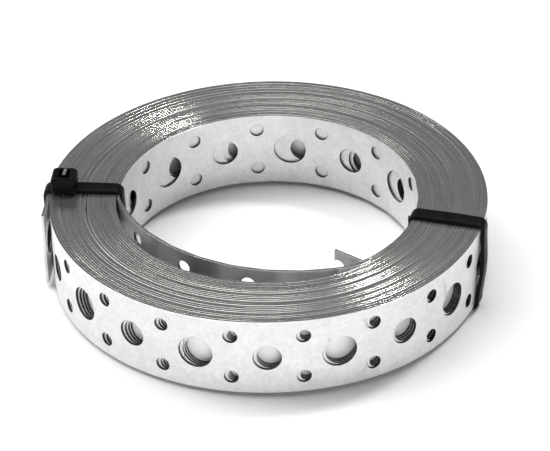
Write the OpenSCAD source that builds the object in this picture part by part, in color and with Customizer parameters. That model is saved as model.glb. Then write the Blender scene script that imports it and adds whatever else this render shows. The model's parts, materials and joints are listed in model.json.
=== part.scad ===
// Coil of perforated metal mounting strap: one galvanised steel strip wound flat and held by two cable ties.
// Origin: on the coil's axis at the level of the floor, +Z up. Lengths in mm, angles in degrees from +X.

/* [Strap] */
// Width of the strap, which is the height of the coil
strap_width = 26; // [22:0.5:30]
// Thickness of the strip
strap_thickness = 0.8; // [0.6:0.05:1]
// Air between one turn and the next
turn_gap = 0.04; // [0.02:0.01:0.08]
// Chamfer where the strip was sheared, which shows as a groove between turns
edge_break = 0.14; // [0.08:0.01:0.2]

/* [Coil] */
// Diameter of the eye inside the first turn
eye_diameter = 95; // [88:1:104]
// Number of turns
turns = 27; // [20:1:30]
// Extra radius that the last half turn gains by lying slack on the turn below
slack = 0.16; // [0.1:0.02:0.3]

/* [Holes] */
// Diameter of every second centre hole
big_hole = 10.6; // [8.6:0.2:11.4]
// Diameter of the centre holes between them
medium_hole = 8.5; // [6.5:0.25:9.5]
// Diameter of the paired small holes
small_hole = 4.3; // [3.3:0.2:5.3]
// Distance along the strap from each centre hole to the next pair
hole_step = 11; // [10.5:0.25:12]
// Distance across the strap between the two holes of a pair
pair_spacing = 14.8; // [13.6:0.2:15.6]

/* [Ends] */
// Length of the inner end that is bent into the eye
tab_length = 9.5; // [7:0.5:12]
// Centre-line radius of that bend
tab_bend_radius = 1.6; // [1.2:0.1:2.2]
// How far the inner end is bent
tab_bend_angle = 76; // [70:2:94]
// Place of the bend on the inner wall
tab_angle = -52; // [-54:0.5:-50]
// Distance from the inner cut end to its first pair of holes
inner_first_hole = 1.6; // [1:0.1:2.1]
// Length of the outer end beyond the tie that holds it
free_length = 16; // [12:0.5:20]
// Distance from the outer cut end to its first big hole
outer_first_hole = 8; // [6:0.5:9]

/* [Loose turn] */
// How far the first turn stands off the wall
loose_bow = 7.5; // [6:0.25:7.5]
// Direction of the middle of the loose stretch
loose_angle = 240; // [240:0.25:241]
// How much greater the radius of its long flat arc is than the first turn's
loose_flatness = 11.1; // [11:0.25:14]
// Centre-line radius of the tighter arcs at both of its ends
loose_blend_radius = 18; // [15:1:21]

/* [Cable ties] */
// Width of a tie's band
tie_width = 4.8; // [3.6:0.2:5.6]
// Thickness of a tie's band
tie_thickness = 1.2; // [1:0.1:1.6]
// Clearance between a tie and the coil
tie_seat = 0.12; // [0.1:0.02:0.2]
// Inner radius of a tie's corners
tie_corner = 0.3; // [0.2:0.02:0.4]
// Place of the tie that clamps the outer end
left_tie_angle = 174.8; // [174:0.2:176]
// Place of the other tie
right_tie_angle = -19.5; // [-22:0.5:-17]
// Length of a tie's head along the band
head_length = 8; // [7:0.25:9]
// Width of a tie's head
head_width = 7.6; // [7:0.2:9]
// Height of a tie's head above the coil
head_height = 6; // [5:0.25:7]
// Distance from the coil's outer edge to the left tie's head
head_inset = 1.4; // [1:0.2:4]
// Height of the right tie's head above the coil's lower end
head_lift = 3; // [2:0.5:6]
// How far a tie's cut tail stands out of its head
tail_length = 1; // [0.5:0.25:2]

/* [Hidden] */

weld = 0.3;                  // depth to which one stretch of strap is fused into the next
edge_drop = 0.25;            // how far a fused band lies below the strap's edges
emerge_lap = 0.5;            // angle by which the wall's first turn overlaps the loose turn
punch_over = 0.1;            // how far a punch passes through strip that stands clear
loose_step = 2;              // length of the loose turn's facets
bend_step = 0.4;             // and of the tab's bend
tab_dive = 6;                // angle at which the bent end runs into the wall
tab_dive_length = 2;
reach = 2;                   // how far a punch stands out of the face that it enters
facets = 144;

pitch = strap_thickness + turn_gap;
half = strap_thickness / 2;
bottom = tie_thickness + tie_seat;
top = bottom + strap_width;
middle = bottom + strap_width / 2;
eye_radius = eye_diameter / 2;
wound_inner = eye_radius + pitch;                  // bore left when the first turn is taken off
wound_outer = eye_radius + (turns - 1) * pitch;    // wall that the last half turn rises from
rise = pitch + slack;
last_angle = left_tie_angle - 180;                 // the outer turn starts to rise here
first_middle = eye_radius + half;
last_lead = 20;                                    // the outer turn shows its rise from here on

// ---- strip sections, drawn across the thickness (x) and up the width (y) ----

// Sheared strip from x0 to x1, chamfered on its four long edges.
module strip_section(x0, x1) {
    polygon([
        [x0, bottom + edge_break], [x0 + edge_break, bottom],
        [x1 - edge_break, bottom], [x1, bottom + edge_break],
        [x1, top - edge_break], [x1 - edge_break, top],
        [x0 + edge_break, top], [x0, top - edge_break]
    ]);
}

// Chamfered edges of a stack of turns from boundary `from` to boundary `to`, as one end of the coil
// shows them.
function turn_edges(from, to, level, away) = [
    for (k = [from:to - 1], i = [0:2])
        let (r = eye_radius + k * pitch)
        i == 0 ? [r, level + away * edge_break]
        : [i == 1 ? r + edge_break : r + pitch - edge_break, level]
];

// All wound turns as one section: a chamfer on each turn's edge leaves a groove between neighbours.
module wound_section() {
    polygon(concat(
        turn_edges(1, turns - 1, bottom, 1),
        [[wound_outer, bottom + edge_break], [wound_outer, top - edge_break]],
        reversed(turn_edges(1, turns - 1, top, -1))
    ));
}

// ---- centre line of the strap: poses are [x, y, heading], stretches are [length, radius] ----

function rad(angle) = angle * PI / 180;
function deg(angle) = angle * 180 / PI;

// Pose after one stretch: radius 0 is straight, any other turns left on that radius.
function carried(pose, length, radius) =
    radius == 0
    ? [pose[0] + length * cos(pose[2]), pose[1] + length * sin(pose[2]), pose[2]]
    : let (side = pose[2] + 90, turn = deg(length / radius))
      [pose[0] + radius * (cos(side) - cos(side + turn)),
       pose[1] + radius * (sin(side) - sin(side + turn)), pose[2] + turn];

// Pose at a distance along a path, counted from stretch i.
function pose_at(path, pose, distance, i = 0) =
    i == len(path) - 1 || distance <= path[i][0]
    ? carried(pose, distance, path[i][1])
    : pose_at(path, carried(pose, path[i][0], path[i][1]), distance - path[i][0], i + 1);

function length_of(path, i = 0) = i == len(path) ? 0 : path[i][0] + length_of(path, i + 1);

// The loose turn is a flat arc with a tighter arc at each end, tangent inside a circle just behind the wall.
// The three centres are a triangle: the coil's axis, the flat arc's centre and a tighter arc's centre.
join_radius = wound_inner + half + weld;
loose_flat_radius = first_middle + loose_flatness;
flat_offset = loose_flatness + loose_bow;
blend_offset = loose_flat_radius - loose_blend_radius;
axis_offset = join_radius - loose_blend_radius;

function angle_between(a, b, opposite) = acos((a * a + b * b - opposite * opposite) / (2 * a * b));

loose_spread = 180 - angle_between(axis_offset, flat_offset, blend_offset);
loose_sweep = angle_between(blend_offset, flat_offset, axis_offset);
loose_path = [
    [rad(loose_spread - loose_sweep) * loose_blend_radius, loose_blend_radius],
    [rad(2 * loose_sweep) * loose_flat_radius, loose_flat_radius],
    [rad(loose_spread - loose_sweep) * loose_blend_radius, loose_blend_radius]
];
loose_start = loose_angle - loose_spread;
loose_pose = [join_radius * cos(loose_start), join_radius * sin(loose_start), loose_start + 90];

// Direction in which the loose turn has come out to the first turn's radius, where the wall hands over to it.
emerge_turn = angle_between(axis_offset, first_middle, loose_blend_radius);
emerge_angle = loose_start + emerge_turn + emerge_lap;

// The tab's last stretch dives a little into the wall, which fuses it to the first turn.
tab_path = [
    [tab_length, 0],
    [rad(tab_bend_angle) * tab_bend_radius, tab_bend_radius],
    [tab_dive_length, 0]
];
tab_heading = tab_angle + 90 - tab_bend_angle - tab_dive;
tab_run = pose_at(tab_path, [0, 0, tab_heading], tab_length + tab_path[1][0]);
tab_pose = [
    first_middle * cos(tab_angle) - tab_run[0],
    first_middle * sin(tab_angle) - tab_run[1],
    tab_heading
];

// ---- stretches of strip ----

// Outline points beside a path, `aside` to its left, a step apart.
function points_beside(path, pose, aside, step) = [
    for (i = [0:len(path) - 1])
        let (n = path[i][1] == 0 ? 1 : ceil(path[i][0] / step))
        let (before = length_of(path) - length_of(path, i))
        for (k = [(i == 0 ? 0 : 1):n])
            let (p = pose_at(path, pose, before + path[i][0] * k / n))
            [p[0] - aside * sin(p[2]), p[1] + aside * cos(p[2])]
];

function reversed(list) = [for (i = [len(list) - 1:-1:0]) list[i]];

// Strip along a path.
module strip_along(path, pose, step) {
    translate([0, 0, bottom])
        linear_extrude(strap_width)
            polygon(concat(
                points_beside(path, pose, -half, step),
                reversed(points_beside(path, pose, half, step))
            ));
}

// Section turned about the axis from one angle on.
module turned(from, angle) {
    rotate([0, 0, from]) rotate_extrude(angle = angle, $fn = facets) children();
}

// Band that lies below the turns' edges, from one radius to another.
module low_section(x0, x1) {
    translate([x0, bottom + edge_drop]) square([x1 - x0, strap_width - 2 * edge_drop]);
}

module wound_turns() {
    rotate_extrude($fn = facets) wound_section();
}

module first_turn() {
    turned(tab_angle, emerge_angle - tab_angle) {
        strip_section(eye_radius, eye_radius + strap_thickness);
        low_section(first_middle, wound_inner + weld);
    }
}

// The last half turn rises evenly from the wall to its full stand-off at the left tie.
last_radius = wound_outer + rise / 2;
last_shift = rise / 2;

module last_half_turn() {
    rotate([0, 0, last_angle])
        translate([-last_shift, 0, 0])
            turned(last_lead, 180 - last_lead) low_section(wound_outer - weld - last_shift, last_radius);
}

// Radius of the outer wall in a direction.
function outer_wall(angle) =
    let (past = angle - last_angle)
    past <= last_lead || past > 180 ? wound_outer
    : sqrt(pow(last_radius, 2) - pow(last_shift * sin(past), 2)) - last_shift * cos(past);

// The outer end is straight. It starts inside the last half turn, a hair below that turn's face.
free_lap = 1;
free_sink = 0.05;
free_face = wound_outer + rise - free_sink;

module free_end() {
    rotate([0, 0, left_tie_angle])
        translate([free_face - strap_thickness, -free_lap, bottom])
            cube([strap_thickness, free_length + free_lap, strap_width]);
}

// ---- punched holes ----

// Hole number k along the strap: centre holes and pairs take turns, and every second centre hole is big.
// `first` is the number of a big hole.
function is_pair(k, first) = (k - first) % 2 != 0;
function centre_hole(k, first) = (k - first) % 4 == 0 ? big_hole : medium_hole;

// Punch number k, pushed out along +X through the wall between x0 and x1.
module punch(k, first, x0, x1) {
    if (is_pair(k, first))
        for (side = [-1, 1])
            translate([x0, 0, middle + side * pair_spacing / 2])
                rotate([0, 90, 0]) cylinder(d = small_hole, h = x1 - x0, $fn = facets / 6);
    else
        translate([x0, 0, middle])
            rotate([0, 90, 0]) cylinder(d = centre_hole(k, first), h = x1 - x0, $fn = facets / 4);
}

// Holes of the outer end and the outer turn, numbered from the big hole in the free end.
function outer_distance(k) = outer_first_hole + k * hole_step;
function outer_angle(k) = left_tie_angle - deg((outer_distance(k) - free_length) / wound_outer);
outer_last = floor((2 * PI * wound_outer + free_length - outer_first_hole) / hole_step);
outer_on_wall = [for (k = [0:outer_last]) if (outer_distance(k) > free_length) k];

module outer_punches() {
    for (k = outer_on_wall)
        rotate([0, 0, outer_angle(k)])
            punch(k, 0, outer_wall(outer_angle(k)) - strap_thickness, outer_wall(outer_angle(k)) + reach);
}

module free_punches() {
    rotate([0, 0, left_tie_angle])
        for (k = [0:outer_last])
            if (outer_distance(k) < free_length + big_hole / 2)
                translate([0, free_length - outer_distance(k), 0])
                    punch(k, 0, free_face - 2 * strap_thickness, free_face + reach);
}

// Holes of the inner end and the first turn, numbered from the pair at its cut edge.
inner_big = 3;
tab_run_length = tab_length + tab_path[1][0];
wall_run_length = rad(emerge_angle - tab_angle) * first_middle;
hidden_run = rad(180 - angle_between(axis_offset, loose_blend_radius, first_middle)) * loose_blend_radius;
inner_length = tab_run_length + wall_run_length + length_of(loose_path) - 2 * hidden_run;
inner_last = floor((inner_length - inner_first_hole) / hole_step);

// Pose on the inner end's centre line: the tab, the first turn on the wall, and then the loose turn.
function inner_pose(distance) =
    distance < tab_run_length ? pose_at(tab_path, tab_pose, distance)
    : distance < tab_run_length + wall_run_length
    ? let (angle = tab_angle + deg((distance - tab_run_length) / first_middle))
      [first_middle * cos(angle), first_middle * sin(angle), angle + 90]
    : pose_at(loose_path, loose_pose, distance - tab_run_length - wall_run_length + hidden_run);

function inner_distance(k) = inner_first_hole + k * hole_step;

module inner_punches() {
    for (k = [0:inner_last]) {
        distance = inner_distance(k);
        on_wall = distance > tab_run_length && distance < tab_run_length + wall_run_length;
        pose = inner_pose(distance);
        translate([pose[0], pose[1], 0])
            rotate([0, 0, pose[2] - 90]) punch(k, inner_big, -reach, half + (on_wall ? 0 : punch_over));
    }
}

// Holes of the second turn where it stands open behind the loose turn, which meets it at loose_end.
open_clear = 8;
loose_end = 2 * loose_angle - loose_start - emerge_turn;
function second_angle(k) =
    loose_end - 360 + deg((inner_distance(k) - inner_length) / (wound_inner + half));
second_last = floor((inner_length + 2 * PI * wound_inner) / hole_step);
second_open = [
    for (k = [inner_last:second_last])
        if (second_angle(k) > emerge_angle + open_clear && second_angle(k) < loose_end - open_clear) k
];

module second_punches() {
    for (k = second_open)
        rotate([0, 0, second_angle(k)])
            punch(k, inner_big, wound_inner - reach, wound_inner + strap_thickness);
}

// ---- the three pieces ----

module strap_coil() {
    color([0.78, 0.79, 0.78]) {
        difference() {
            union() {
                difference() {
                    union() {
                        wound_turns();
                        last_half_turn();
                    }
                    outer_punches();
                    second_punches();
                }
                first_turn();
                strip_along(tab_path, tab_pose, bend_step);
                strip_along(loose_path, loose_pose, loose_step);
            }
            inner_punches();
        }
        difference() {
            free_end();
            free_punches();
        }
    }
}

// Rectangle with round corners, from corner (x0, y0) to corner (x1, y1).
module round_rectangle(x0, y0, x1, y1, r) {
    translate([x0 + r, y0]) square([x1 - x0 - 2 * r, y1 - y0]);
    translate([x0, y0 + r]) square([x1 - x0, y1 - y0 - 2 * r]);
    for (x = [x0 + r, x1 - r], y = [y0 + r, y1 - r])
        translate([x, y]) circle(r, $fn = facets / 4);
}

// Band of a tie around the coil's section, between an inner and an outer wall radius.
module tie_band(inner, outer) {
    x0 = inner - tie_seat;
    x1 = outer + tie_seat;
    y0 = bottom - tie_seat;
    y1 = top + tie_seat;
    rotate([90, 0, 0])
        linear_extrude(tie_width, center = true)
            difference() {
                round_rectangle(x0 - tie_thickness, y0 - tie_thickness, x1 + tie_thickness,
                    y1 + tie_thickness, tie_corner + tie_thickness);
                round_rectangle(x0, y0, x1, y1, tie_corner);
            }
}

// Head with its slot's mouth and the cut tail, standing on z = 0 and centred on the band.
head_foot = tie_thickness / 2;
head_chamfer = 0.9;
mouth_depth = 0.8;
mouth_gap = 0.5;
tail_slack = 0.4;
tail_width = tie_width - tail_slack;

module tie_head() {
    difference() {
        rotate([90, 0, 0])
            linear_extrude(head_width, center = true)
                polygon([
                    [-head_length / 2, head_foot], [head_length / 2, head_foot],
                    [head_length / 2, head_height - head_chamfer],
                    [head_length / 2 - head_chamfer, head_height],
                    [-head_length / 2 + head_chamfer, head_height],
                    [-head_length / 2, head_height - head_chamfer]
                ]);
        translate([-tie_thickness / 2 - mouth_gap, -tie_width / 2 - mouth_gap, head_height - mouth_depth])
            cube([tie_thickness + 2 * mouth_gap, tie_width + 2 * mouth_gap, reach]);
    }
    translate([-tie_thickness / 2, -tail_width / 2, head_height - mouth_depth - weld])
        cube([tie_thickness, tail_width, mouth_depth + weld + tail_length]);
}

module cable_tie_left() {
    color([0.06, 0.06, 0.06])
        rotate([0, 0, left_tie_angle]) {
            tie_band(eye_radius, wound_outer + rise);
            translate([wound_outer + rise - head_inset - head_length / 2, 0, top + tie_seat]) tie_head();
        }
}

module cable_tie_right() {
    color([0.06, 0.06, 0.06])
        rotate([0, 0, right_tie_angle]) {
            tie_band(eye_radius, wound_outer);
            translate([eye_radius - tie_seat, 0, bottom + head_lift + head_length / 2])
                rotate([0, -90, 0]) tie_head();
        }
}

strap_coil();
cable_tie_left();
cable_tie_right();
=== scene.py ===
"""Coil of perforated metal mounting strap, held by two black cable ties, on a pale studio floor."""

import json
import math

import bpy
import numpy as np
from mathutils import Matrix, Vector
from mathutils.geometry import delaunay_2d_cdt


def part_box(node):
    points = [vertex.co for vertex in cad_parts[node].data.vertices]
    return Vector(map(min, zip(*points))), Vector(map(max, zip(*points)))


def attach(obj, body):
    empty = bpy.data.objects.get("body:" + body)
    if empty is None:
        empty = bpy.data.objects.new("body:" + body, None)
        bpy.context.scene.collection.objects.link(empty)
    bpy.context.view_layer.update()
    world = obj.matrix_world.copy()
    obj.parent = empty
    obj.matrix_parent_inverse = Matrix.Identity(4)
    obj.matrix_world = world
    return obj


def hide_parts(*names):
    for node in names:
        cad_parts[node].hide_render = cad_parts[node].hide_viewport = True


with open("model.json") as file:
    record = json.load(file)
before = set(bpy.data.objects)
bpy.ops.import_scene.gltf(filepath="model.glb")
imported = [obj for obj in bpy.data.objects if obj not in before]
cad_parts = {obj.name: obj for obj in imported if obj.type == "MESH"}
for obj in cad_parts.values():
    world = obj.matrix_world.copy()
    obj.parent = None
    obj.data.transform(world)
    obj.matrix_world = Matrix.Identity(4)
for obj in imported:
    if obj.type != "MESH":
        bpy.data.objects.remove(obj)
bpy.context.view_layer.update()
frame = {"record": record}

# ---------------------------------------------------------------- sizes, in mm and degrees

MM = 0.001
mounts = {m["name"]: m for m in frame["record"]["mounts"]}
strap_low, strap_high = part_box("strap_coil")

BOTTOM = strap_low.z / MM
TOP = strap_high.z / MM
MIDDLE = (BOTTOM + TOP) / 2
EYE_RADIUS = 47.5
FIRST_MIDDLE = EYE_RADIUS + 0.4   # centre line of the first turn on the wall
WOUND_OUTER = strap_high.x / MM
RISE = 1.0                        # how far the last half turn climbs before the left tie
WALL_SETBACK = 0.05               # keeps the outer wall inside the solids
STRIP = 0.78                      # thickness as drawn, a little under the real one so that gaps show
EDGE_ROUND = 0.055                # rounding of its long edges
TAB_ANGLE = -52.0                 # where the tab's bend leaves the wall
LEFT_TIE = 174.8
RIGHT_TIE = -19.6
FREE_LENGTH = 16.0                # strip past the left tie
LAST_LAP = 26                     # whole turns before the one that ends at the left tie
END_ANGLE = LEFT_TIE + 360 * LAST_LAP


def direction(mount):
    axis = mounts[mount]["axis"]
    return math.degrees(math.atan2(axis[1], axis[0]))


BIG = mounts["big_hole_24"]["dims"]["r_mm"]
MEDIUM = mounts["medium_hole_26"]["dims"]["r_mm"]
SMALL = mounts["small_hole_9_upper"]["dims"]["r_mm"]
PAIR = mounts["small_hole_9_upper"]["pos_m"][2] / MM - MIDDLE
HOLE_STEP = 11.0
OUTER_REFERENCE = 28              # the big hole that the outer turns' holes are counted from
OUTER_STEP = (direction("big_hole_24") - direction("big_hole_28")) / 4
OUTER_ANGLE = direction("big_hole_28")

rng = np.random.default_rng(27)


def smoothstep(x, a, b):
    t = np.clip((x - a) / (b - a), 0, 1)
    return t * t * (3 - 2 * t)


def smooth_noise(count, spacing):
    """Smooth random values between 0 and 1 with one knot every `spacing` samples."""
    knots = rng.random(int(count / spacing) + 4)
    x = np.arange(count) / spacing
    i = x.astype(int)
    t = x - i
    t = t * t * (3 - 2 * t)
    return knots[i] * (1 - t) + knots[i + 1] * t


# ---------------------------------------------------------------- the strap's centre line

STEP = 0.5                        # sampling of the turns, in degrees
LAP = int(360 / STEP)
TURNS = LAST_LAP + 1


def outer_wall(phi):
    """Outer radius of the coil in a direction between TAB_ANGLE and TAB_ANGLE + 360."""
    past = phi - (LEFT_TIE - 180)
    lift = RISE * 0.5 * (1 - np.cos(np.radians(np.clip(past, 0, 180))))
    return WOUND_OUTER + np.where(phi <= LEFT_TIE, lift, 0) - WALL_SETBACK


LOOSE_MIDDLE, LOOSE_BOW, LOOSE_FLATNESS, LOOSE_BLEND, LOOSE_JOIN = 240.0, 7.5, 11.1, 18.0, 49.04
ELSEWHERE = 99.0                  # a radius past the coil, where the first turn isn't loose


def loose_radius(phi):
    """Centre-line radius of the loose first turn: a flat arc between two tighter ones."""
    flat = FIRST_MIDDLE + LOOSE_FLATNESS
    a, b, c = LOOSE_JOIN - LOOSE_BLEND, LOOSE_FLATNESS + LOOSE_BOW, flat - LOOSE_BLEND
    spread = 180 - math.degrees(math.acos((a * a + b * b - c * c) / (2 * a * b)))
    d = np.radians((phi - LOOSE_MIDDLE + 180) % 360 - 180)
    on_flat = -b * np.cos(d) + np.sqrt(np.maximum((b * np.cos(d)) ** 2 - b * b + flat * flat, 0))
    e = np.abs(d) - math.radians(spread)
    on_blend = a * np.cos(e) + np.sqrt(np.maximum(LOOSE_BLEND ** 2 - (a * np.sin(e)) ** 2, 0))
    near = (e <= 0) & (e > -math.asin(LOOSE_BLEND / a))
    sweep = math.acos((c * c + b * b - a * a) / (2 * c * b))
    seen = np.arctan2(on_flat * np.sin(np.abs(d)), on_flat * np.cos(d) + b)
    return np.where(seen <= sweep, on_flat, np.where(near, on_blend, ELSEWHERE))


def soft_min(a, b, k):
    """The lesser of a and b, blended where they differ by less than k."""
    h = np.maximum(k - np.abs(a - b), 0) / k
    return np.minimum(a, b) - h * h * k / 4


GAP_LEAST, GAP_WIDE, GAP_FINE = 0.010, 0.30, 0.05
CLIMB_START, CLIMB_END = 262, 300     # the first turn steps out here, round the tab's start
BULGE_ANGLE, BULGE_SPREAD, BULGE = 304, 17, 0.3   # the outermost turns stand off a little here
JOIN_SOFT, LEAVE_SOFT = 0.9, 0.35     # how softly the loose turn meets the wall before and past its middle


def wound_path():
    """Angles and centre-line radii of every turn, from the tab's bend to the left tie.

    The gaps between turns are uneven, but at each direction they add up to what the coil's outside leaves.
    """
    count = TURNS * LAP
    wide = smooth_noise(count, 70 / STEP) ** 5
    gaps = GAP_LEAST + GAP_WIDE * wide + GAP_FINE * smooth_noise(count, 24 / STEP) ** 3
    gaps = gaps.reshape(TURNS, LAP)
    phi = TAB_ANGLE + np.arange(LAP) * STEP
    ramp = smoothstep(phi, CLIMB_START, CLIMB_END)
    layers = np.where(phi < LEFT_TIE, TURNS, TURNS - 1)
    present = np.ones((TURNS, LAP))
    present[-1] = phi < LEFT_TIE
    room = outer_wall(phi) - EYE_RADIUS - (layers + ramp) * STRIP
    scale = room / ((gaps * present).sum(0) + ramp * gaps[0, 0])
    wrap = 24
    padded = np.concatenate([scale[-wrap:], scale, scale[:wrap]])
    window = np.hanning(2 * wrap + 1)
    smoothed = np.convolve(padded, window / window.sum(), "valid")
    near_tie = np.exp(-(((phi - LEFT_TIE) / 12) ** 2))
    scale = scale * (1 - near_tie) + smoothed * near_tie
    inner = np.empty((TURNS, LAP))
    inner[0] = EYE_RADIUS + ramp * (STRIP + gaps[0, 0] * scale)
    for j in range(1, TURNS):
        inner[j] = inner[j - 1] + STRIP + gaps[j - 1] * scale
    radius = (inner + STRIP / 2).reshape(-1)
    theta = TAB_ANGLE + np.arange(count) * STEP
    bulge = np.exp(-((((theta % 360) - BULGE_ANGLE) / BULGE_SPREAD) ** 2))
    radius = radius + bulge * (BULGE * (theta > END_ANGLE - 3 * 360) + BULGE * (theta > END_ANGLE - 2 * 360))
    first = theta < TAB_ANGLE + 360
    soft = np.where(theta < LOOSE_MIDDLE, JOIN_SOFT, LEAVE_SOFT)
    radius = np.where(first, soft_min(radius, loose_radius(theta), soft), radius)
    keep = theta <= END_ANGLE
    return theta[keep], radius[keep]


TAB_LENGTH, TAB_BEND, TAB_TURN = 9.5, 1.6, 76.5   # straight length, bend radius and bend angle
FREE_BOW = 0.2                    # how far the free end springs out at its tip


def strap_path():
    """Dense points of the whole centre line, with the wound part's angles for looking places up."""
    theta, radius = wound_path()
    x, y = radius * np.cos(np.radians(theta)), radius * np.sin(np.radians(theta))
    start = math.radians(TAB_ANGLE + 90)
    centre = np.array([x[0], y[0]]) + TAB_BEND * np.array([-math.sin(start), math.cos(start)])
    turn = np.radians(np.linspace(TAB_TURN, 0, 24, endpoint=False))
    bend = np.stack([centre[0] + TAB_BEND * np.sin(start - turn),
                     centre[1] - TAB_BEND * np.cos(start - turn)], 1)
    heading = start - turn[0]
    back = np.linspace(TAB_LENGTH, 0, 20, endpoint=False)
    tab = bend[0] - back[:, None] * np.array([math.cos(heading), math.sin(heading)])
    end = math.radians(LEFT_TIE)
    along = np.array([-math.sin(end), math.cos(end)])
    out = np.array([math.cos(end), math.sin(end)])
    run = np.linspace(0, FREE_LENGTH, 33)[1:, None]
    free = np.array([x[-1], y[-1]]) + run * along + FREE_BOW * (run / FREE_LENGTH) ** 2 * out
    points = np.concatenate([tab, bend, np.stack([x, y], 1), free])
    length = np.concatenate([[0], np.cumsum(np.hypot(*np.diff(points, axis=0).T))])
    first = len(tab) + len(bend)
    return points, length, theta, length[first:first + len(theta)]


points, length, theta_at, theta_length = strap_path()
TOTAL = length[-1]
tangent = np.gradient(points, length, axis=0)
tangent /= np.hypot(*tangent.T)[:, None]


def length_at(theta):
    return np.interp(theta, theta_at, theta_length)


def place(s):
    """Positions, outward normals and tangents at distances s along the centre line."""
    p = np.stack([np.interp(s, length, points[:, i]) for i in (0, 1)], -1)
    t = np.stack([np.interp(s, length, tangent[:, i]) for i in (0, 1)], -1)
    t /= np.linalg.norm(t, axis=-1, keepdims=True)
    return p, np.stack([t[..., 1], -t[..., 0]], -1), t


def edge_heights():
    """How far each stretch of the strap stands above or below the coil's even end."""
    count = int(TOTAL / 2) + 4
    slow = smooth_noise(count, 45)
    deep = smooth_noise(count, 90) ** 9
    return np.minimum(-0.06 + 0.10 * slow - 0.30 * deep, 0.06)


heights_top, heights_low = edge_heights(), edge_heights()


def edge_height(s, heights):
    return np.interp(s / 2, np.arange(len(heights)), heights)


# ---------------------------------------------------------------- holes along the strap

PAIRED, ROUND_BIG, ROUND_MEDIUM = 0, 1, 2
SEARCH = 60                       # stations tried to either side of a turn's reference
HOLE_ROOM = 0.4                   # strip kept clear past a station's holes


def kind_of(k, first_big):
    if (k - first_big) % 2:
        return PAIRED
    return ROUND_BIG if (k - first_big) % 4 == 0 else ROUND_MEDIUM


def turn_stations(lap, angle, step, reference, shift, first_big, low, high):
    """Holes of one turn: station `reference` is at `angle`; its number along the strap is `shift` higher."""
    found = []
    for k in range(reference - SEARCH, reference + SEARCH + 1):
        theta = 360 * lap + angle + (reference - k) * step
        if low < theta <= high:
            found.append((float(length_at(theta)), kind_of(k + shift, first_big)))
    return found


def room(station):
    """Half the length of strip that a station's holes need."""
    return {PAIRED: SMALL, ROUND_BIG: BIG, ROUND_MEDIUM: MEDIUM}[station[1]] + HOLE_ROOM


def spaced(found):
    """The stations in order, without those whose holes would run into the one before."""
    kept = []
    for station in found:
        if not kept or abs(station[0] - kept[-1][0]) > room(station) + room(kept[-1]):
            kept.append(station)
    return sorted(kept)


# how far the next turns' holes lie past the outermost turn's, in mm, at three of its stations
LAG_STATIONS = (26, 29, 34)
OUTER_LAG = ((0, 0, 0), (0.9, 1.0, 0.8), (0.95, 1.05, 1.4), (1.0, 1.1, 1.8))
OUTER_SHIFT = (0, 40, 80, 120)
OUTER_PITCH = 0.83                    # mean step from turn to turn near the outside
OUTER_FIRST = 8.0                     # the free end's big hole, from the tip
PUNCHED_OUTER, PUNCHED_INNER = 4, 5   # turns next to the outside and the eye whose holes can show


def outer_stations():
    """Stations of the free end and the outer turns, as (distance, kind)."""
    found = [(TOTAL - OUTER_FIRST, ROUND_BIG)]
    for n, (lags, shift) in enumerate(zip(OUTER_LAG, OUTER_SHIFT)):
        radius = WOUND_OUTER - (n + 0.5) * OUTER_PITCH
        high = END_ANGLE - 360 * n - 0.3
        for k in range(OUTER_REFERENCE - SEARCH, OUTER_REFERENCE + SEARCH + 1):
            lag = math.degrees(np.interp(k, LAG_STATIONS, lags) / radius)
            theta = 360 * (LAST_LAP - n) + OUTER_ANGLE + (OUTER_REFERENCE - k) * OUTER_STEP + lag
            if high - 359.7 < theta <= high:
                found.append((float(length_at(theta)), kind_of(k + shift, 0)))
    return spaced(sorted(found, reverse=True))


INNER_FIRST = 1.6                     # the pair that the bent end is cut through, from its edge
INNER_BIG = 3                         # the first big hole's number
INNER_REFERENCE = 11                  # the big hole at the back of the inner wall
INNER_LAG = (-4.3, -4.9, -4.0, -4.6)
INNER_SHIFT = (26, 52, 78, 104)
INNER_PITCH = 0.84


def inner_stations():
    """Stations of the bent end, the first turn and the next inner turns, as (distance, kind)."""
    lap_end = float(length_at(TAB_ANGLE + 350))
    found = []
    k = 0
    while INNER_FIRST + k * HOLE_STEP < lap_end:
        found.append((INNER_FIRST + k * HOLE_STEP, kind_of(k, INNER_BIG)))
        k += 1
    at = INNER_FIRST + INNER_REFERENCE * HOLE_STEP
    angle = float(np.interp(at, theta_length, theta_at))
    for n, (lag, shift) in enumerate(zip(INNER_LAG, INNER_SHIFT), start=1):
        radius = FIRST_MIDDLE + n * INNER_PITCH
        step = -math.degrees(HOLE_STEP / radius)
        low = TAB_ANGLE + 360 * n + (0 if n > 1 else 2)
        found += turn_stations(n, angle + math.degrees(lag / radius), step, INNER_REFERENCE, shift,
                               INNER_BIG, low, TAB_ANGLE + 360 * (n + 1) - 3)
    return spaced(sorted(found))


# ---------------------------------------------------------------- mesh of the strap

class Soup:
    """Triangles with a normal and a place along and across the strip at every corner."""

    def __init__(self):
        self.parts = []

    def add(self, s, off, z, normal, slot):
        """Arrays of shape (triangles, 3); normal has components (along, out, up)."""
        self.parts.append((s, off, z, normal, np.full(len(s), slot)))

    def quads(self, a, b, c, d, slot):
        """Each corner is (s, off, z, normal) with arrays of one length."""
        for tri in ((a, b, c), (a, c, d)):
            self.add(*(np.stack([v[i] for v in tri], 1) for i in range(4)), slot)


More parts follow.
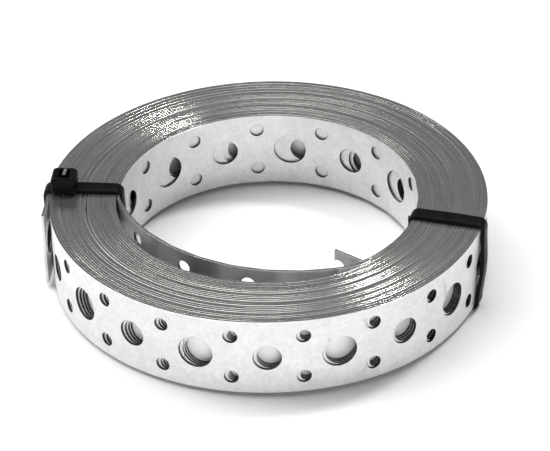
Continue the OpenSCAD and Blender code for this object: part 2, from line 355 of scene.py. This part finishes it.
# slot 3 holds painted shade on the loose first turn's outward face
# slot 4 holds painted light: a paler, less metallic copy of the face for the deeper turns seen through the
# holes
FACE, CUT, PUNCHED, LOOSE_FACE_PAINTED_SHADE, DEEP_FACE_PAINTED_LIGHT = range(5)
HALF = STRIP / 2
RIM = 0.13                            # width of the small rounding at a hole's rim
SIDE_LEAN, CROWN_LEAN = (0.42, 0.91), (0.08, 0.99)   # normals (out, up) at an edge's side and top
CELL_HALF, FAR_STATION = 5.6, 9       # a cell's half length where the next station is far
FINE_SEGMENTS, COARSE_SEGMENTS, PAIR_SHARE = 32, 20, 0.6
COLUMN_STEP = 2.8
FILL_HALF, FILL_STEP, FILL_STEP_BEND = 10.5, 3.5, 1.75   # points between a cell's holes and edges
FILL_CLEAR = 0.7                      # their least distance from a hole


def normal_array(count, along, out, up):
    return np.tile(np.array([along, out, up], float), (count, 1))


def loop_levels(s):
    """The section's eight corners at distances s, with the normals that round its long edges."""
    top = TOP + edge_height(s, heights_top) - MIDDLE
    low = BOTTOM - edge_height(s, heights_low) - MIDDLE
    r = EDGE_ROUND
    offs = (HALF, HALF - r, r - HALF, -HALF, -HALF, r - HALF, HALF - r, HALF)
    zs = (top - r, top, top, top - r, low + r, low, low, low + r)
    (a, b), (c, d) = SIDE_LEAN, CROWN_LEAN
    lean = [(a, b), (c, d), (-c, d), (-a, b), (-a, -b), (-c, -d), (c, -d), (a, -b)]
    return [(s, np.full(len(s), o), z, normal_array(len(s), 0, *n)) for o, z, n in zip(offs, zs, lean)]


def edge_strips(soup, s, faces, outward=FACE):
    """Rounded long edges between the columns at s, and both flat faces as well where `faces` is set.

    `outward` is the slot of the flat face that looks away from the eye.
    """
    loop = loop_levels(s)
    for i in range(8):
        j = (i + 1) % 8
        flat = i in (3, 7)
        if flat and not faces:
            continue
        a, b = loop[i], loop[j]
        if flat:
            n = normal_array(len(s), 0, -1 if i == 3 else 1, 0)
            a, b = (*a[:3], n), (*b[:3], n)
        corner = [tuple(v[:-1] for v in a), tuple(v[1:] for v in a),
                  tuple(v[1:] for v in b), tuple(v[:-1] for v in b)]
        soup.quads(*corner, (FACE if i == 3 else outward) if flat else CUT)


def circle(centre, radius, count):
    t = np.linspace(0, 2 * math.pi, count, endpoint=False) + math.pi / count
    return np.stack([centre[0] + radius * np.cos(t), centre[1] + radius * np.sin(t)], 1)


def edge_between(a, b):
    """Where the cells of two neighbouring stations meet: halfway, or off it where one needs more room."""
    middle = (a[0] + b[0]) / 2
    return min(max(middle, a[0] + room(a)), b[0] - room(b))


def holes_of(kind, at):
    if kind == PAIRED:
        return [((at, side * PAIR), SMALL) for side in (-1, 1)]
    return [((at, 0.0), BIG if kind == ROUND_BIG else MEDIUM)]


def columns_between(s0, s1):
    """Even columns, closer together where the tab is bent."""
    n = max(2, int(round((s1 - s0) / COLUMN_STEP)))
    cols = set(np.round(np.linspace(s0, s1, n + 1), 5))
    bend = np.arange(TAB_LENGTH - 0.2, TAB_LENGTH + 2.7, 0.3)
    near = [b for b in bend if s0 + 0.15 < b < s1 - 0.15]
    if near:
        cols = {c for c in cols if c in (round(s0, 5), round(s1, 5)) or min(abs(c - b) for b in near) > 0.2}
        cols |= set(np.round(near, 5))
    return np.array(sorted(cols))


def punched_cell(soup, s0, s1, kind, at, segments, rims, skins):
    """A stretch of strip from s0 to s1 with the holes of one station.

    `rims` lists the sides (1 outward, -1 inward) whose rims show, and `skins` gives each side's slot.
    """
    cols = columns_between(s0, s1)
    edge_strips(soup, cols, False)
    loop = loop_levels(cols)
    count = segments if kind != PAIRED else int(segments * PAIR_SHARE)
    holes = holes_of(kind, at)
    for side, top, low in ((1, loop[0][2], loop[7][2]), (-1, loop[3][2], loop[4][2])):
        rim = RIM if side in rims else 0.0
        verts = [(c, z) for c, z in zip(cols, top)] + [(c, z) for c, z in zip(cols, low)]
        edges = []
        rings = []
        for centre, radius in holes:
            ring = circle(centre, radius + rim, count)
            inside = (ring[:, 0] > s0 + 1e-6) & (ring[:, 0] < s1 - 1e-6)
            if not inside.all():
                ring = notched(ring, centre, radius + rim, s0, inside)
            base = len(verts)
            verts += [tuple(p) for p in ring]
            closed = inside.all()
            edges += [(base + i, base + i + 1) for i in range(len(ring) - 1)]
            if closed:
                edges.append((base + len(ring) - 1, base))
            rings.append((centre, radius, rim, ring, closed))
        near_bend = s0 < TAB_LENGTH + 2.5 and s1 > TAB_LENGTH
        for c in cols[1:-1]:
            for z in np.arange(-FILL_HALF, FILL_HALF + 0.1, FILL_STEP_BEND if near_bend else FILL_STEP):
                if all(math.hypot(c - h[0][0], z - h[0][1]) > h[1] + FILL_CLEAR for h in holes):
                    verts.append((c, z))
        out = delaunay_2d_cdt([Vector(v) for v in verts], edges, [], 0, 1e-6)
        flat = np.array([tuple(v) for v in out[0]])
        tris = np.array([f for f in out[2] if len(f) == 3])
        mid = flat[tris].mean(1)
        keep = np.ones(len(tris), bool)
        for centre, radius in holes:
            keep &= np.hypot(mid[:, 0] - centre[0], mid[:, 1] - centre[1]) > (radius + rim) * 0.995
        tris = tris[keep]
        a, b, c = (flat[tris[:, i]] for i in range(3))
        area = (b[:, 0] - a[:, 0]) * (c[:, 1] - a[:, 1]) - (b[:, 1] - a[:, 1]) * (c[:, 0] - a[:, 0])
        tris = tris[np.abs(area) > 1e-7]
        area = area[np.abs(area) > 1e-7]
        turn = area * side < 0
        tris[turn] = tris[turn][:, ::-1]
        s, z = flat[tris][..., 0], flat[tris][..., 1]
        normal = np.zeros(s.shape + (3,))
        normal[..., 1] = side
        soup.add(s, np.full(s.shape, side * HALF), z, normal, skins[side])
        for centre, radius, width, ring, closed in rings:
            hole_walls(soup, centre, radius, width, ring, side, closed)


def notched(ring, centre, radius, edge, inside):
    """The part of a hole's rim that lies past the strip's cut end, ending on that end."""
    reach = math.sqrt(radius ** 2 - (centre[0] - edge) ** 2)
    kept = ring[inside]
    kept = kept[np.argsort(np.arctan2(kept[:, 1] - centre[1], kept[:, 0] - centre[0]))]
    return np.concatenate([[[edge, centre[1] - reach]], kept, [[edge, centre[1] + reach]]])


def hole_walls(soup, centre, radius, width, ring, side, closed):
    """Half of a hole's wall, from the middle of the strip out to one face, with a rim of `width`."""
    nxt = np.roll(ring, -1, axis=0)
    if not closed:
        ring, nxt = ring[:-1], nxt[:-1]

    def corner(p, r, off, lean):
        d = p - np.array(centre)
        d = d / np.linalg.norm(d, axis=1, keepdims=True)
        q = np.array(centre) + d * r
        if not closed:
            q[:, 0] = np.maximum(q[:, 0], 0)
        n = np.stack([-d[:, 0] * (1 - lean), np.full(len(d), side * lean), -d[:, 1] * (1 - lean)], 1)
        return q[:, 0], np.full(len(q), off), q[:, 1], n

    levels = [(radius, 0.0, 0.0), (radius, side * (HALF - width), 0.0)]
    if width:
        levels.append((radius + width, side * HALF, 0.6))
    for (r0, o0, l0), (r1, o1, l1) in zip(levels[:-1], levels[1:]):
        a, b = corner(ring, r0, o0, l0), corner(nxt, r0, o0, l0)
        c, d = corner(nxt, r1, o1, l1), corner(ring, r1, o1, l1)
        soup.quads(*((d, c, b, a) if side > 0 else (a, b, c, d)), PUNCHED)


def end_cap(soup, at, side, gaps):
    """Cut end of the strip, split where holes run out through it."""
    s = np.array([at])
    loop = loop_levels(s)
    outline = [(float(p[1][0]), float(p[2][0])) for p in loop]
    normal = normal_array(1, side, 0, 0)
    z_top, z_low = outline[0][1], outline[7][1]
    marks = [z_low] + [m for g in gaps for m in g] + [z_top]

    def fan(poly):
        for i in range(1, len(poly) - 1):
            tri = (poly[0], poly[i], poly[i + 1]) if side < 0 else (poly[0], poly[i + 1], poly[i])
            arr = np.array(tri)
            soup.add(np.full((1, 3), at), arr[None, :, 0], arr[None, :, 1],
                     np.repeat(normal[:, None], 3, 1), CUT)

    fan([outline[3], outline[2], outline[1], outline[0]])
    fan([outline[7], outline[6], outline[5], outline[4]])
    for low, high in zip(marks[::2], marks[1::2]):
        fan([(-HALF, low), (-HALF, high), (HALF, high), (HALF, low)])


def punched_run(soup, stations, start, stop, rims_at, skins_at):
    """Cells from start to stop, coarser where no rim shows; far stations get plain strip between them."""
    at = start
    for i, (s, kind) in enumerate(stations):
        left = edge_between(stations[i - 1], (s, kind)) if i else start
        right = edge_between((s, kind), stations[i + 1]) if i + 1 < len(stations) else stop
        if s - left > FAR_STATION:
            left = s - CELL_HALF
        if right - s > FAR_STATION:
            right = s + CELL_HALF
        if left > at + 1e-6:
            edge_strips(soup, columns_between(at, left), True)
        rims = rims_at(s)
        segments = FINE_SEGMENTS if rims else COARSE_SEGMENTS
        punched_cell(soup, left, right, kind, s, segments, rims, skins_at(s))
        at = right
    if stop > at + 1e-6:
        edge_strips(soup, columns_between(at, stop), True)


def strap_mesh():
    """The whole strap: the inner turns, the plain turns between, and the outer turns with the free end."""
    soup = Soup()
    inner_stop = float(length_at(TAB_ANGLE + 360 * PUNCHED_INNER))
    outer_start = float(length_at(END_ANGLE - 360 * PUNCHED_OUTER))
    first_stop = float(length_at(TAB_ANGLE + 360))
    last_start = float(length_at(END_ANGLE - 360))

    def inner_rims(s):
        return (-1, 1) if s < first_stop else ()

    def outer_rims(s):
        if s > TOTAL - FREE_LENGTH:
            return (-1, 1)
        return (1,) if s > last_start else ()

    # the first turn's outward face gets the painted-shade copy of the face material
    def inner_skins(s):
        return {-1: FACE, 1: LOOSE_FACE_PAINTED_SHADE if s < first_stop else FACE}

    # the deeper outer turns' outward faces get the painted-light copy, which brightens the floors of the hole
    # pits
    def outer_skins(s):
        return {-1: FACE, 1: FACE if s > last_start else DEEP_FACE_PAINTED_LIGHT}

    inner = [p for p in inner_stations() if p[0] < inner_stop - CELL_HALF]
    outer = [p for p in outer_stations() if p[0] > outer_start + CELL_HALF]
    punched_run(soup, inner, 0.0, inner_stop, inner_rims, inner_skins)
    between = (theta_at > TAB_ANGLE + 360 * PUNCHED_INNER) & (theta_at < END_ANGLE - 360 * PUNCHED_OUTER)
    columns = np.concatenate([[inner_stop], length_at(theta_at[between][5:-5:5]), [outer_start]])
    # the plain turns between get the painted-light face too
    edge_strips(soup, columns, True, DEEP_FACE_PAINTED_LIGHT)
    punched_run(soup, outer, outer_start, TOTAL, outer_rims, outer_skins)
    reach = math.sqrt((SMALL + RIM) ** 2 - INNER_FIRST ** 2)
    end_cap(soup, 0.0, -1, [(side * PAIR - reach, side * PAIR + reach) for side in (-1, 1)])
    end_cap(soup, TOTAL, 1, [])
    return soup


def mesh_object(name, corners, normals, slots, uv, materials):
    """An object from triangles: corners and normals are (n, 3, 3), in metres; shared corners are merged."""
    flat = corners.reshape(-1, 3)
    keys = np.round(flat / 2e-6).astype(np.int64)
    _, first, inverse = np.unique(keys, axis=0, return_index=True, return_inverse=True)
    tris = inverse.reshape(-1, 3)
    good = (tris[:, 0] != tris[:, 1]) & (tris[:, 1] != tris[:, 2]) & (tris[:, 2] != tris[:, 0])
    tris, normals, slots, uv = tris[good], normals[good], slots[good], uv[good]
    mesh = bpy.data.meshes.new(name)
    mesh.from_pydata(flat[first].tolist(), [], tris.tolist())
    mesh.update()
    for material in materials:
        mesh.materials.append(material)
    mesh.polygons.foreach_set("material_index", slots.astype(np.int32))
    layer = mesh.uv_layers.new(name="strip")
    layer.data.foreach_set("uv", uv.reshape(-1).astype(np.float32))
    mesh.polygons.foreach_set("use_smooth", np.ones(len(tris), bool))
    n = normals.reshape(-1, 3)
    n = n / np.linalg.norm(n, axis=1, keepdims=True)
    mesh.normals_split_custom_set(n.tolist())
    piece = bpy.data.objects.new(name, mesh)
    bpy.context.scene.collection.objects.link(piece)
    return piece


def strap_object(materials):
    """The strap's mesh wound up: every corner goes from its place on the strip to its place in the coil."""
    parts = strap_mesh().parts
    s, off, z, normal, slots = (np.concatenate([p[i] for p in parts]) for i in range(5))
    p, out, along = place(s)
    corners = np.empty(s.shape + (3,))
    corners[..., :2] = (p + out * off[..., None]) * MM
    corners[..., 2] = (z + MIDDLE) * MM
    world = np.empty(corners.shape)
    world[..., :2] = along * normal[..., :1] + out * normal[..., 1:2]
    world[..., 2] = normal[..., 2]
    uv = np.stack([s * MM, (z + off * np.abs(normal[..., 2])) * MM], -1)
    facing = np.cross(corners[:, 1] - corners[:, 0], corners[:, 2] - corners[:, 0])
    wrong = (facing * world.sum(1)).sum(-1) < 0
    for part in (corners, world, uv):
        part[wrong] = part[wrong][:, ::-1]
    return mesh_object("strap", corners, world, slots, uv, materials)


# ---------------------------------------------------------------- node materials

class Nodes:
    """Short calls for building one material's nodes."""

    def __init__(self, name):
        self.material = bpy.data.materials.new(name)
        self.material.use_nodes = True
        self.tree = self.material.node_tree
        self.tree.nodes.clear()
        self.shader = self.tree.nodes.new("ShaderNodeBsdfPrincipled")
        output = self.tree.nodes.new("ShaderNodeOutputMaterial")
        self.link(self.shader.outputs[0], output.inputs[0])

    def link(self, a, b):
        self.tree.links.new(a, b)

    def add(self, kind, values=(), **settings):
        node = self.tree.nodes.new(kind)
        for name, value in settings.items():
            setattr(node, name, value)
        for key, value in dict(values).items():
            if isinstance(value, bpy.types.NodeSocket):
                self.link(value, node.inputs[key])
            else:
                node.inputs[key].default_value = value
        return node

    def strip_place(self, along, across):
        """The place along and across the strip, scaled."""
        uv = self.add("ShaderNodeUVMap", uv_map="strip")
        scale = self.add("ShaderNodeMapping", {0: uv.outputs[0], 3: (along, across, 1.0)})
        return scale.outputs[0]

    def solid_place(self, scale):
        place = self.add("ShaderNodeTexCoord")
        return self.add("ShaderNodeMapping", {0: place.outputs["Object"], 3: (scale,) * 3}).outputs[0]

    def noise(self, vector, scale, detail=3.0, rough=0.55):
        return self.add("ShaderNodeTexNoise", {"Vector": vector, "Scale": scale, "Detail": detail,
                                               "Roughness": rough}).outputs["Fac"]

    def math(self, operation, a, b):
        return self.add("ShaderNodeMath", {0: a, 1: b}, operation=operation).outputs[0]

    def ramp(self, value, *stops):
        """Colour or grey stops as (position, value)."""
        node = self.add("ShaderNodeValToRGB", {0: value})
        elements = node.color_ramp.elements
        while len(elements) < len(stops):
            elements.new(0.5)
        for element, (position, colour) in zip(elements, stops):
            element.position = position
            grey = (colour,) * 3 if isinstance(colour, float) else colour
            element.color = (*grey, 1.0)
        return node.outputs[0]

    def blend(self, kind, amount, a, b):
        node = self.add("ShaderNodeMix", {0: amount, 6: a, 7: b}, data_type="RGBA", blend_type=kind)
        return node.outputs[2]

    def bump(self, height, strength, distance):
        node = self.add("ShaderNodeBump", {"Height": height, "Strength": strength, "Distance": distance})
        self.link(node.outputs[0], self.shader.inputs["Normal"])


def galvanised(name, low, high, metal):
    """Hot-dip zinc: a fine-grained mottle from low to high, rolling lines and light handling marks."""
    n = Nodes(name)
    metres = n.strip_place(1.0, 1.0)
    wobble = n.noise(metres, 700.0, 2.0)
    shift = n.add("ShaderNodeVectorMath", {0: wobble, 1: (0.0012, 0.0012, 0.0)}, operation="MULTIPLY")
    bent = n.add("ShaderNodeVectorMath", {0: metres, 1: shift.outputs[0]}, operation="ADD")
    crystals = n.add("ShaderNodeTexVoronoi", {"Vector": bent.outputs[0], "Scale": 900.0})
    tint = n.ramp(crystals.outputs["Color"], (0.1, low), (0.9, high))
    cloud = n.ramp(n.noise(metres, 130.0, 5.0, 0.65), (0.30, 0.90), (0.70, 1.0))
    lines = n.ramp(n.noise(n.strip_place(60.0, 2600.0), 1.0, 2.0), (0.25, 0.95), (0.75, 1.0))
    marks = n.ramp(n.noise(n.strip_place(30.0, 90.0), 1.0, 5.0, 0.7), (0.62, 1.0), (0.80, 0.82))
    colour = n.blend("MULTIPLY", 1.0, tint, cloud)
    colour = n.blend("MULTIPLY", 1.0, colour, lines)
    colour = n.blend("MULTIPLY", 1.0, colour, marks)
    n.link(n.blend("MULTIPLY", 1.0, colour, (0.985, 0.99, 1.0, 1.0)), n.shader.inputs["Base Color"])
    rough = n.ramp(n.noise(metres, 420.0, 4.0), (0.3, 0.40), (0.7, 0.50))
    n.link(rough, n.shader.inputs["Roughness"])
    n.shader.inputs["Metallic"].default_value = metal
    facets = n.math("MULTIPLY", crystals.outputs["Distance"], 0.4)
    n.bump(n.math("ADD", n.noise(metres, 1300.0, 3.0), facets), 0.10, 0.0002)
    return n.material


def rubbed_face():
    """The loose first turn's outward face: painted shade for the shadowed gap it faces at the coil's wall,
    darker in long patches, over fine rolling lines.
    """
    n = Nodes("rubbed_face")
    patches = n.ramp(n.noise(n.strip_place(26.0, 9.0), 1.0, 4.0, 0.6), (0.36, 0.26), (0.66, 0.85))
    lines = n.ramp(n.noise(n.strip_place(40.0, 2200.0), 1.0, 2.0), (0.25, 0.88), (0.75, 1.0))
    n.link(n.blend("MULTIPLY", 1.0, patches, lines), n.shader.inputs["Base Color"])
    n.shader.inputs["Roughness"].default_value = 0.42
    n.shader.inputs["Metallic"].default_value = 0.8
    n.bump(n.noise(n.strip_place(900.0, 900.0), 1.0, 3.0), 0.08, 0.0002)
    return n.material


def sheared_edge():
    """The strip's sheared edge: grain along it, darker stretches and burnished ones."""
    n = Nodes("sheared_edge")
    grain = n.noise(n.strip_place(60.0, 3200.0), 1.0, 3.0)
    stretch = n.noise(n.strip_place(14.0, 4.0), 1.0, 4.0, 0.6)
    tint = n.ramp(grain, (0.28, 0.53), (0.72, 0.82))
    dull = n.ramp(stretch, (0.32, 0.66), (0.56, 1.0))
    colour = n.blend("MULTIPLY", 1.0, tint, dull)
    n.link(n.blend("MULTIPLY", 1.0, colour, (0.995, 1.0, 0.955, 1.0)), n.shader.inputs["Base Color"])
    n.link(n.ramp(stretch, (0.25, 0.22), (0.7, 0.17)), n.shader.inputs["Roughness"])
    n.shader.inputs["Metallic"].default_value = 0.95
    return n.material


def punched_wall():
    """Wall of a punched hole: streaked bare steel, coloured near black as painted shade for the dark insides
    of the holes.
    """
    n = Nodes("punched_wall")
    streaks = n.noise(n.strip_place(1400.0, 300.0), 1.0, 3.0)
    # near-black base colour: painted shade inside the holes, over the streaks of bare steel
    n.link(n.ramp(streaks, (0.3, 0.04), (0.7, 0.11)), n.shader.inputs["Base Color"])
    n.shader.inputs["Roughness"].default_value = 0.42
    n.shader.inputs["Metallic"].default_value = 1.0
    n.bump(streaks, 0.10, 0.0001)
    return n.material


def nylon(name, low, high):
    """Black moulded nylon: fine grain and a soft sheen, rubbed a little paler in places."""
    n = Nodes(name)
    place = n.solid_place(1.0)
    grain = n.noise(place, 1500.0, 3.0)
    rub = n.noise(place, 210.0, 4.0)
    n.link(n.ramp(rub, (0.35, low), (0.75, high)), n.shader.inputs["Base Color"])
    n.link(n.ramp(rub, (0.3, 0.36), (0.7, 0.48)), n.shader.inputs["Roughness"])
    n.shader.inputs["Specular IOR Level"].default_value = 0.09
    n.bump(grain, 0.18, 0.0002)
    return n.material


def floor_material():
    """Pale matt studio floor."""
    n = Nodes("pale_floor")
    speckle = n.noise(n.solid_place(1.0), 40.0, 3.0)
    n.link(n.ramp(speckle, (0.2, 0.90), (0.8, 0.92)), n.shader.inputs["Base Color"])
    n.shader.inputs["Roughness"].default_value = 0.8
    n.shader.inputs["Specular IOR Level"].default_value = 0.1
    return n.material


# ---------------------------------------------------------------- cable ties

SEAT, BAND, BAND_WIDTH = 0.12, 1.2, 4.8   # a tie's clearance round the coil, its thickness and width
CORNER = 2.0                      # centre-line radius of a tie's corners
BAND_EDGE = 0.32                  # rounding of the band's long edges
BAND_BOW = (0.12, 0.25, 0.0)      # how far its top, eye side and bottom stand off; the outside has a slack
HEAD_HALF = 4.0
LEFT_HEAD_INSET, RIGHT_HEAD_RISE = 1.4, 3.0


def rounded_rectangle(half_x, half_y, r, steps=4):
    """Points counter-clockwise round a rectangle with round corners, as (x, y)."""
    found = []
    for quarter, (cx, cy) in enumerate(((1, 1), (-1, 1), (-1, -1), (1, -1))):
        for t in np.linspace(0, 90, steps + 1):
            a = math.radians(t + 90 * quarter)
            found.append((cx * (half_x - r) + r * math.cos(a), cy * (half_y - r) + r * math.sin(a)))
    return found


class Shell:
    """Closed surfaces lofted through rings of points."""

    def __init__(self):
        self.verts, self.faces, self.slots = [], [], []

    def loft(self, rings, slot=0, closed=False, caps=(True, True)):
        """Rings run counter-clockwise as seen from the last one looking back."""
        n = len(rings[0])
        base = len(self.verts)
        for ring in rings:
            self.verts += [tuple(p) for p in ring]
        for i in range(len(rings) if closed else len(rings) - 1):
            a, b = base + i * n, base + (i + 1) % len(rings) * n
            for j in range(n):
                k = (j + 1) % n
                self.faces.append((a + j, a + k, b + k, b + j))
                self.slots.append(slot)
        if not closed:
            last = base + (len(rings) - 1) * n
            if caps[0]:
                self.faces.append(tuple(range(base + n - 1, base - 1, -1)))
                self.slots.append(slot)
            if caps[1]:
                self.faces.append(tuple(range(last, last + n)))
                self.slots.append(slot)

    def build(self, name, shape, materials):
        """An object in metres; `shape` maps a point of the upright section to its place."""
        mesh = bpy.data.meshes.new(name)
        mesh.from_pydata([tuple(c * MM for c in shape(*p)) for p in self.verts], [], self.faces)
        for material in materials:
            mesh.materials.append(material)
        mesh.polygons.foreach_set("material_index", np.array(self.slots, np.int32))
        mesh.polygons.foreach_set("use_smooth", np.ones(len(self.faces), bool))
        mesh.update()
        mesh.set_sharp_from_angle(angle=math.radians(38))
        piece = bpy.data.objects.new(name, mesh)
        bpy.context.scene.collection.objects.link(piece)
        return piece


def band_line(inner, outer, slack):
    """Centre line of a tie round the coil's section: points (x, z) and outward directions."""
    x0, x1 = inner - SEAT - BAND / 2, outer + SEAT + BAND / 2
    z0, z1 = BOTTOM - SEAT - BAND / 2, TOP + SEAT + BAND / 2
    runs = [((x1, z0 + CORNER), (x1, z1 - CORNER), (1, 0)), ((x1 - CORNER, z1), (x0 + CORNER, z1), (0, 1)),
            ((x0, z1 - CORNER), (x0, z0 + CORNER), (-1, 0)), ((x0 + CORNER, z0), (x1 - CORNER, z0), (0, -1))]
    line = []
    for i, (a, b, out) in enumerate(runs):
        a, b, out = np.array(a), np.array(b), np.array(out, float)
        bow = (slack, *BAND_BOW)[i]
        for t in np.linspace(0, 1, 22):
            line.append((a + (b - a) * t + out * bow * math.sin(math.pi * t) ** 2, out))
        centre = b - out * CORNER
        for t in np.linspace(0, 90, 9)[1:-1]:
            c, s = math.cos(math.radians(t)), math.sin(math.radians(t))
            lean = np.array([out[0] * c - out[1] * s, out[0] * s + out[1] * c])
            line.append((centre + CORNER * lean, lean))
    return line


def add_band(shell, inner, outer, slack):
    section = rounded_rectangle(BAND_WIDTH / 2, BAND / 2, BAND_EDGE, 3)
    rings = []
    for (x, z), (nx, nz) in band_line(inner, outer, slack):
        rings.append([(x + t * nx, -w, z + t * nz) for w, t in section])
    shell.loft(rings[::-1], closed=True)


def add_head(shell, at, facing):
    """Head standing out of the band, with its slot, pawl and tail; `facing` is 1 for up, 0 for the eye."""
    x0, z0 = at

    def put(u, v, h):
        return (x0 + u, v, z0 + h) if facing else (x0 - h, v, z0 + u)

    def rings(levels, steps=4):
        return [[put(u, v, h) for u, v in rounded_rectangle(half_u, half_v, r, steps)]
                for h, half_u, half_v, r in levels]

    outside = [(0.55, 3.55, 3.35, 0.5), (0.85, 3.88, 3.68, 0.7), (1.3, 4.0, 3.8, 0.8), (4.7, 3.95, 3.76, 0.8),
               (5.35, 3.78, 3.6, 0.8), (5.75, 3.45, 3.3, 0.7), (5.9, 3.05, 3.1, 0.6)]
    mouth = [(5.88, 1.85, 2.95, 0.4), (5.72, 1.65, 2.8, 0.35), (5.3, 1.55, 2.72, 0.3), (2.6, 1.5, 2.68, 0.3)]
    shell.loft(rings(outside + mouth))
    pawl = [(2.7, 0.45, 1.5, 0.2), (4.2, 0.4, 1.5, 0.2), (4.9, 0.22, 1.4, 0.15)]
    wedge = [[put(u + 1.1, v, h) for u, v in rounded_rectangle(a, b, r, 3)] for h, a, b, r in pawl]
    shell.loft(wedge)
    tail = []
    for h, a, b, slope in ((2.7, 0.52, 2.15, 0), (6.35, 0.52, 2.15, 0.12), (6.5, 0.5, 2.12, 0.12)):
        tail.append([put(u - 0.35, v, h + slope * v) for u, v in rounded_rectangle(a, b, 0.15, 2)])
    shell.loft(tail, caps=(True, False))
    cut = tail[-1]
    middle = tuple(sum(p[i] for p in cut) / len(cut) for i in range(3))
    shell.loft([cut, [middle] * len(cut)], slot=1, caps=(False, False))


def tie(name, angle, slant, slack, inner, outer, head_at, facing, materials):
    """One tie; its top leads its bottom by `slant` degrees and it bows off the coil's outside by `slack`."""
    shell = Shell()
    add_band(shell, inner, outer, slack)
    add_head(shell, head_at, facing)

    def shape(x, y, z):
        a = math.radians(angle + slant * (z - MIDDLE) / (TOP - BOTTOM))
        c, s = math.cos(a), math.sin(a)
        return x * c - y * s, x * s + y * c, z

    return shell.build(name, shape, materials)


# ---------------------------------------------------------------- floor, light and camera

FLOOR_HALF = 6.0                  # in metres, as everything below


def make_floor(material):
    h = FLOOR_HALF
    mesh = bpy.data.meshes.new("floor")
    mesh.from_pydata([(-h, -h, 0), (h, -h, 0), (h, h, 0), (-h, h, 0)], [], [(0, 1, 2, 3)])
    mesh.materials.append(material)
    floor = bpy.data.objects.new("floor", mesh)
    bpy.context.scene.collection.objects.link(floor)


def area_light(name, toward, distance, width, depth, power):
    """Rectangular light in a direction from the coil, aimed at it; `width` lies along the left-right axis."""
    data = bpy.data.lights.new(name, "AREA")
    data.shape = "RECTANGLE"
    data.size, data.size_y = width, depth
    data.energy = power
    lamp = bpy.data.objects.new(name, data)
    way = Vector(toward).normalized()
    side = (Vector((1, 0, 0)) - way * way.x).normalized()
    turn = Matrix((side, way.cross(side), way)).transposed().to_4x4()
    lamp.matrix_world = Matrix.Translation(way * distance) @ turn
    bpy.context.scene.collection.objects.link(lamp)


def light_scene():
    world = bpy.data.worlds.new("studio")
    world.use_nodes = True
    world.node_tree.nodes["Background"].inputs[0].default_value = (0.97, 0.985, 1.0, 1.0)
    world.node_tree.nodes["Background"].inputs[1].default_value = 0.16
    bpy.context.scene.world = world
    area_light("high_softbox", (-0.27, 0.20, 0.94), 3.8, 2.9, 1.9, 87)
    area_light("side_softbox", (-0.76, 0.30, 0.58), 3.8, 3.1, 1.9, 86)
    area_light("lamp", (0.314, 0.361, 0.878), 4.4, 0.68, 0.68, 84)
    area_light("front_fill", (0.14, -0.96, 0.20), 3.0, 3.2, 1.1, 40)
    bpy.context.scene.view_settings.view_transform = "Standard"


def make_camera():
    data = bpy.data.cameras.new("camera")
    data.lens = 171.3
    data.sensor_width = 36
    data.clip_start, data.clip_end = 0.05, 20
    camera = bpy.data.objects.new("camera", data)
    right = Vector((0.99967, -0.01620, -0.01999)).normalized()
    ahead = Vector((0.002284, 0.829773, -0.558097)).normalized()
    up = right.cross(ahead).normalized()
    turn = Matrix((right, up, -ahead)).transposed().to_4x4()
    camera.matrix_world = Matrix.Translation((0, -0.69322, 0.48150)) @ turn
    bpy.context.scene.collection.objects.link(camera)
    bpy.context.scene.camera = camera


# ---------------------------------------------------------------- the whole scene

def build():
    make_camera()
    light_scene()
    make_floor(floor_material())
    # the fifth material is painted light: a paler, less metallic copy of the face for the deeper turns in the
    # holes' pits
    # the fourth material is painted shade for the loose first turn's outward face
    strap = strap_object([galvanised("galvanised_face", 0.79, 0.88, 0.62), sheared_edge(), punched_wall(),
                          rubbed_face(), galvanised("sheltered_face", 0.96, 1.0, 0.25)])
    nylons = [nylon("black_nylon", 0.002, 0.005), nylon("nylon_cut", 0.10, 0.22)]
    left_head = (WOUND_OUTER + RISE - LEFT_HEAD_INSET - HEAD_HALF, TOP + SEAT)
    left = tie("tie_left", LEFT_TIE, 0.0, 0.0, EYE_RADIUS, WOUND_OUTER + RISE, left_head, 1, nylons)
    right_head = (EYE_RADIUS - SEAT, BOTTOM + RIGHT_HEAD_RISE + HEAD_HALF)
    right = tie("tie_right", RIGHT_TIE, 4.5, 0.7, EYE_RADIUS, WOUND_OUTER, right_head, 0, nylons)
    for piece, node, slot in ((strap, "strap_coil", "galvanised_steel"),
                              (left, "cable_tie_left", "black_nylon"),
                              (right, "cable_tie_right", "black_nylon")):
        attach(piece, "root")
        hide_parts(node)


build()
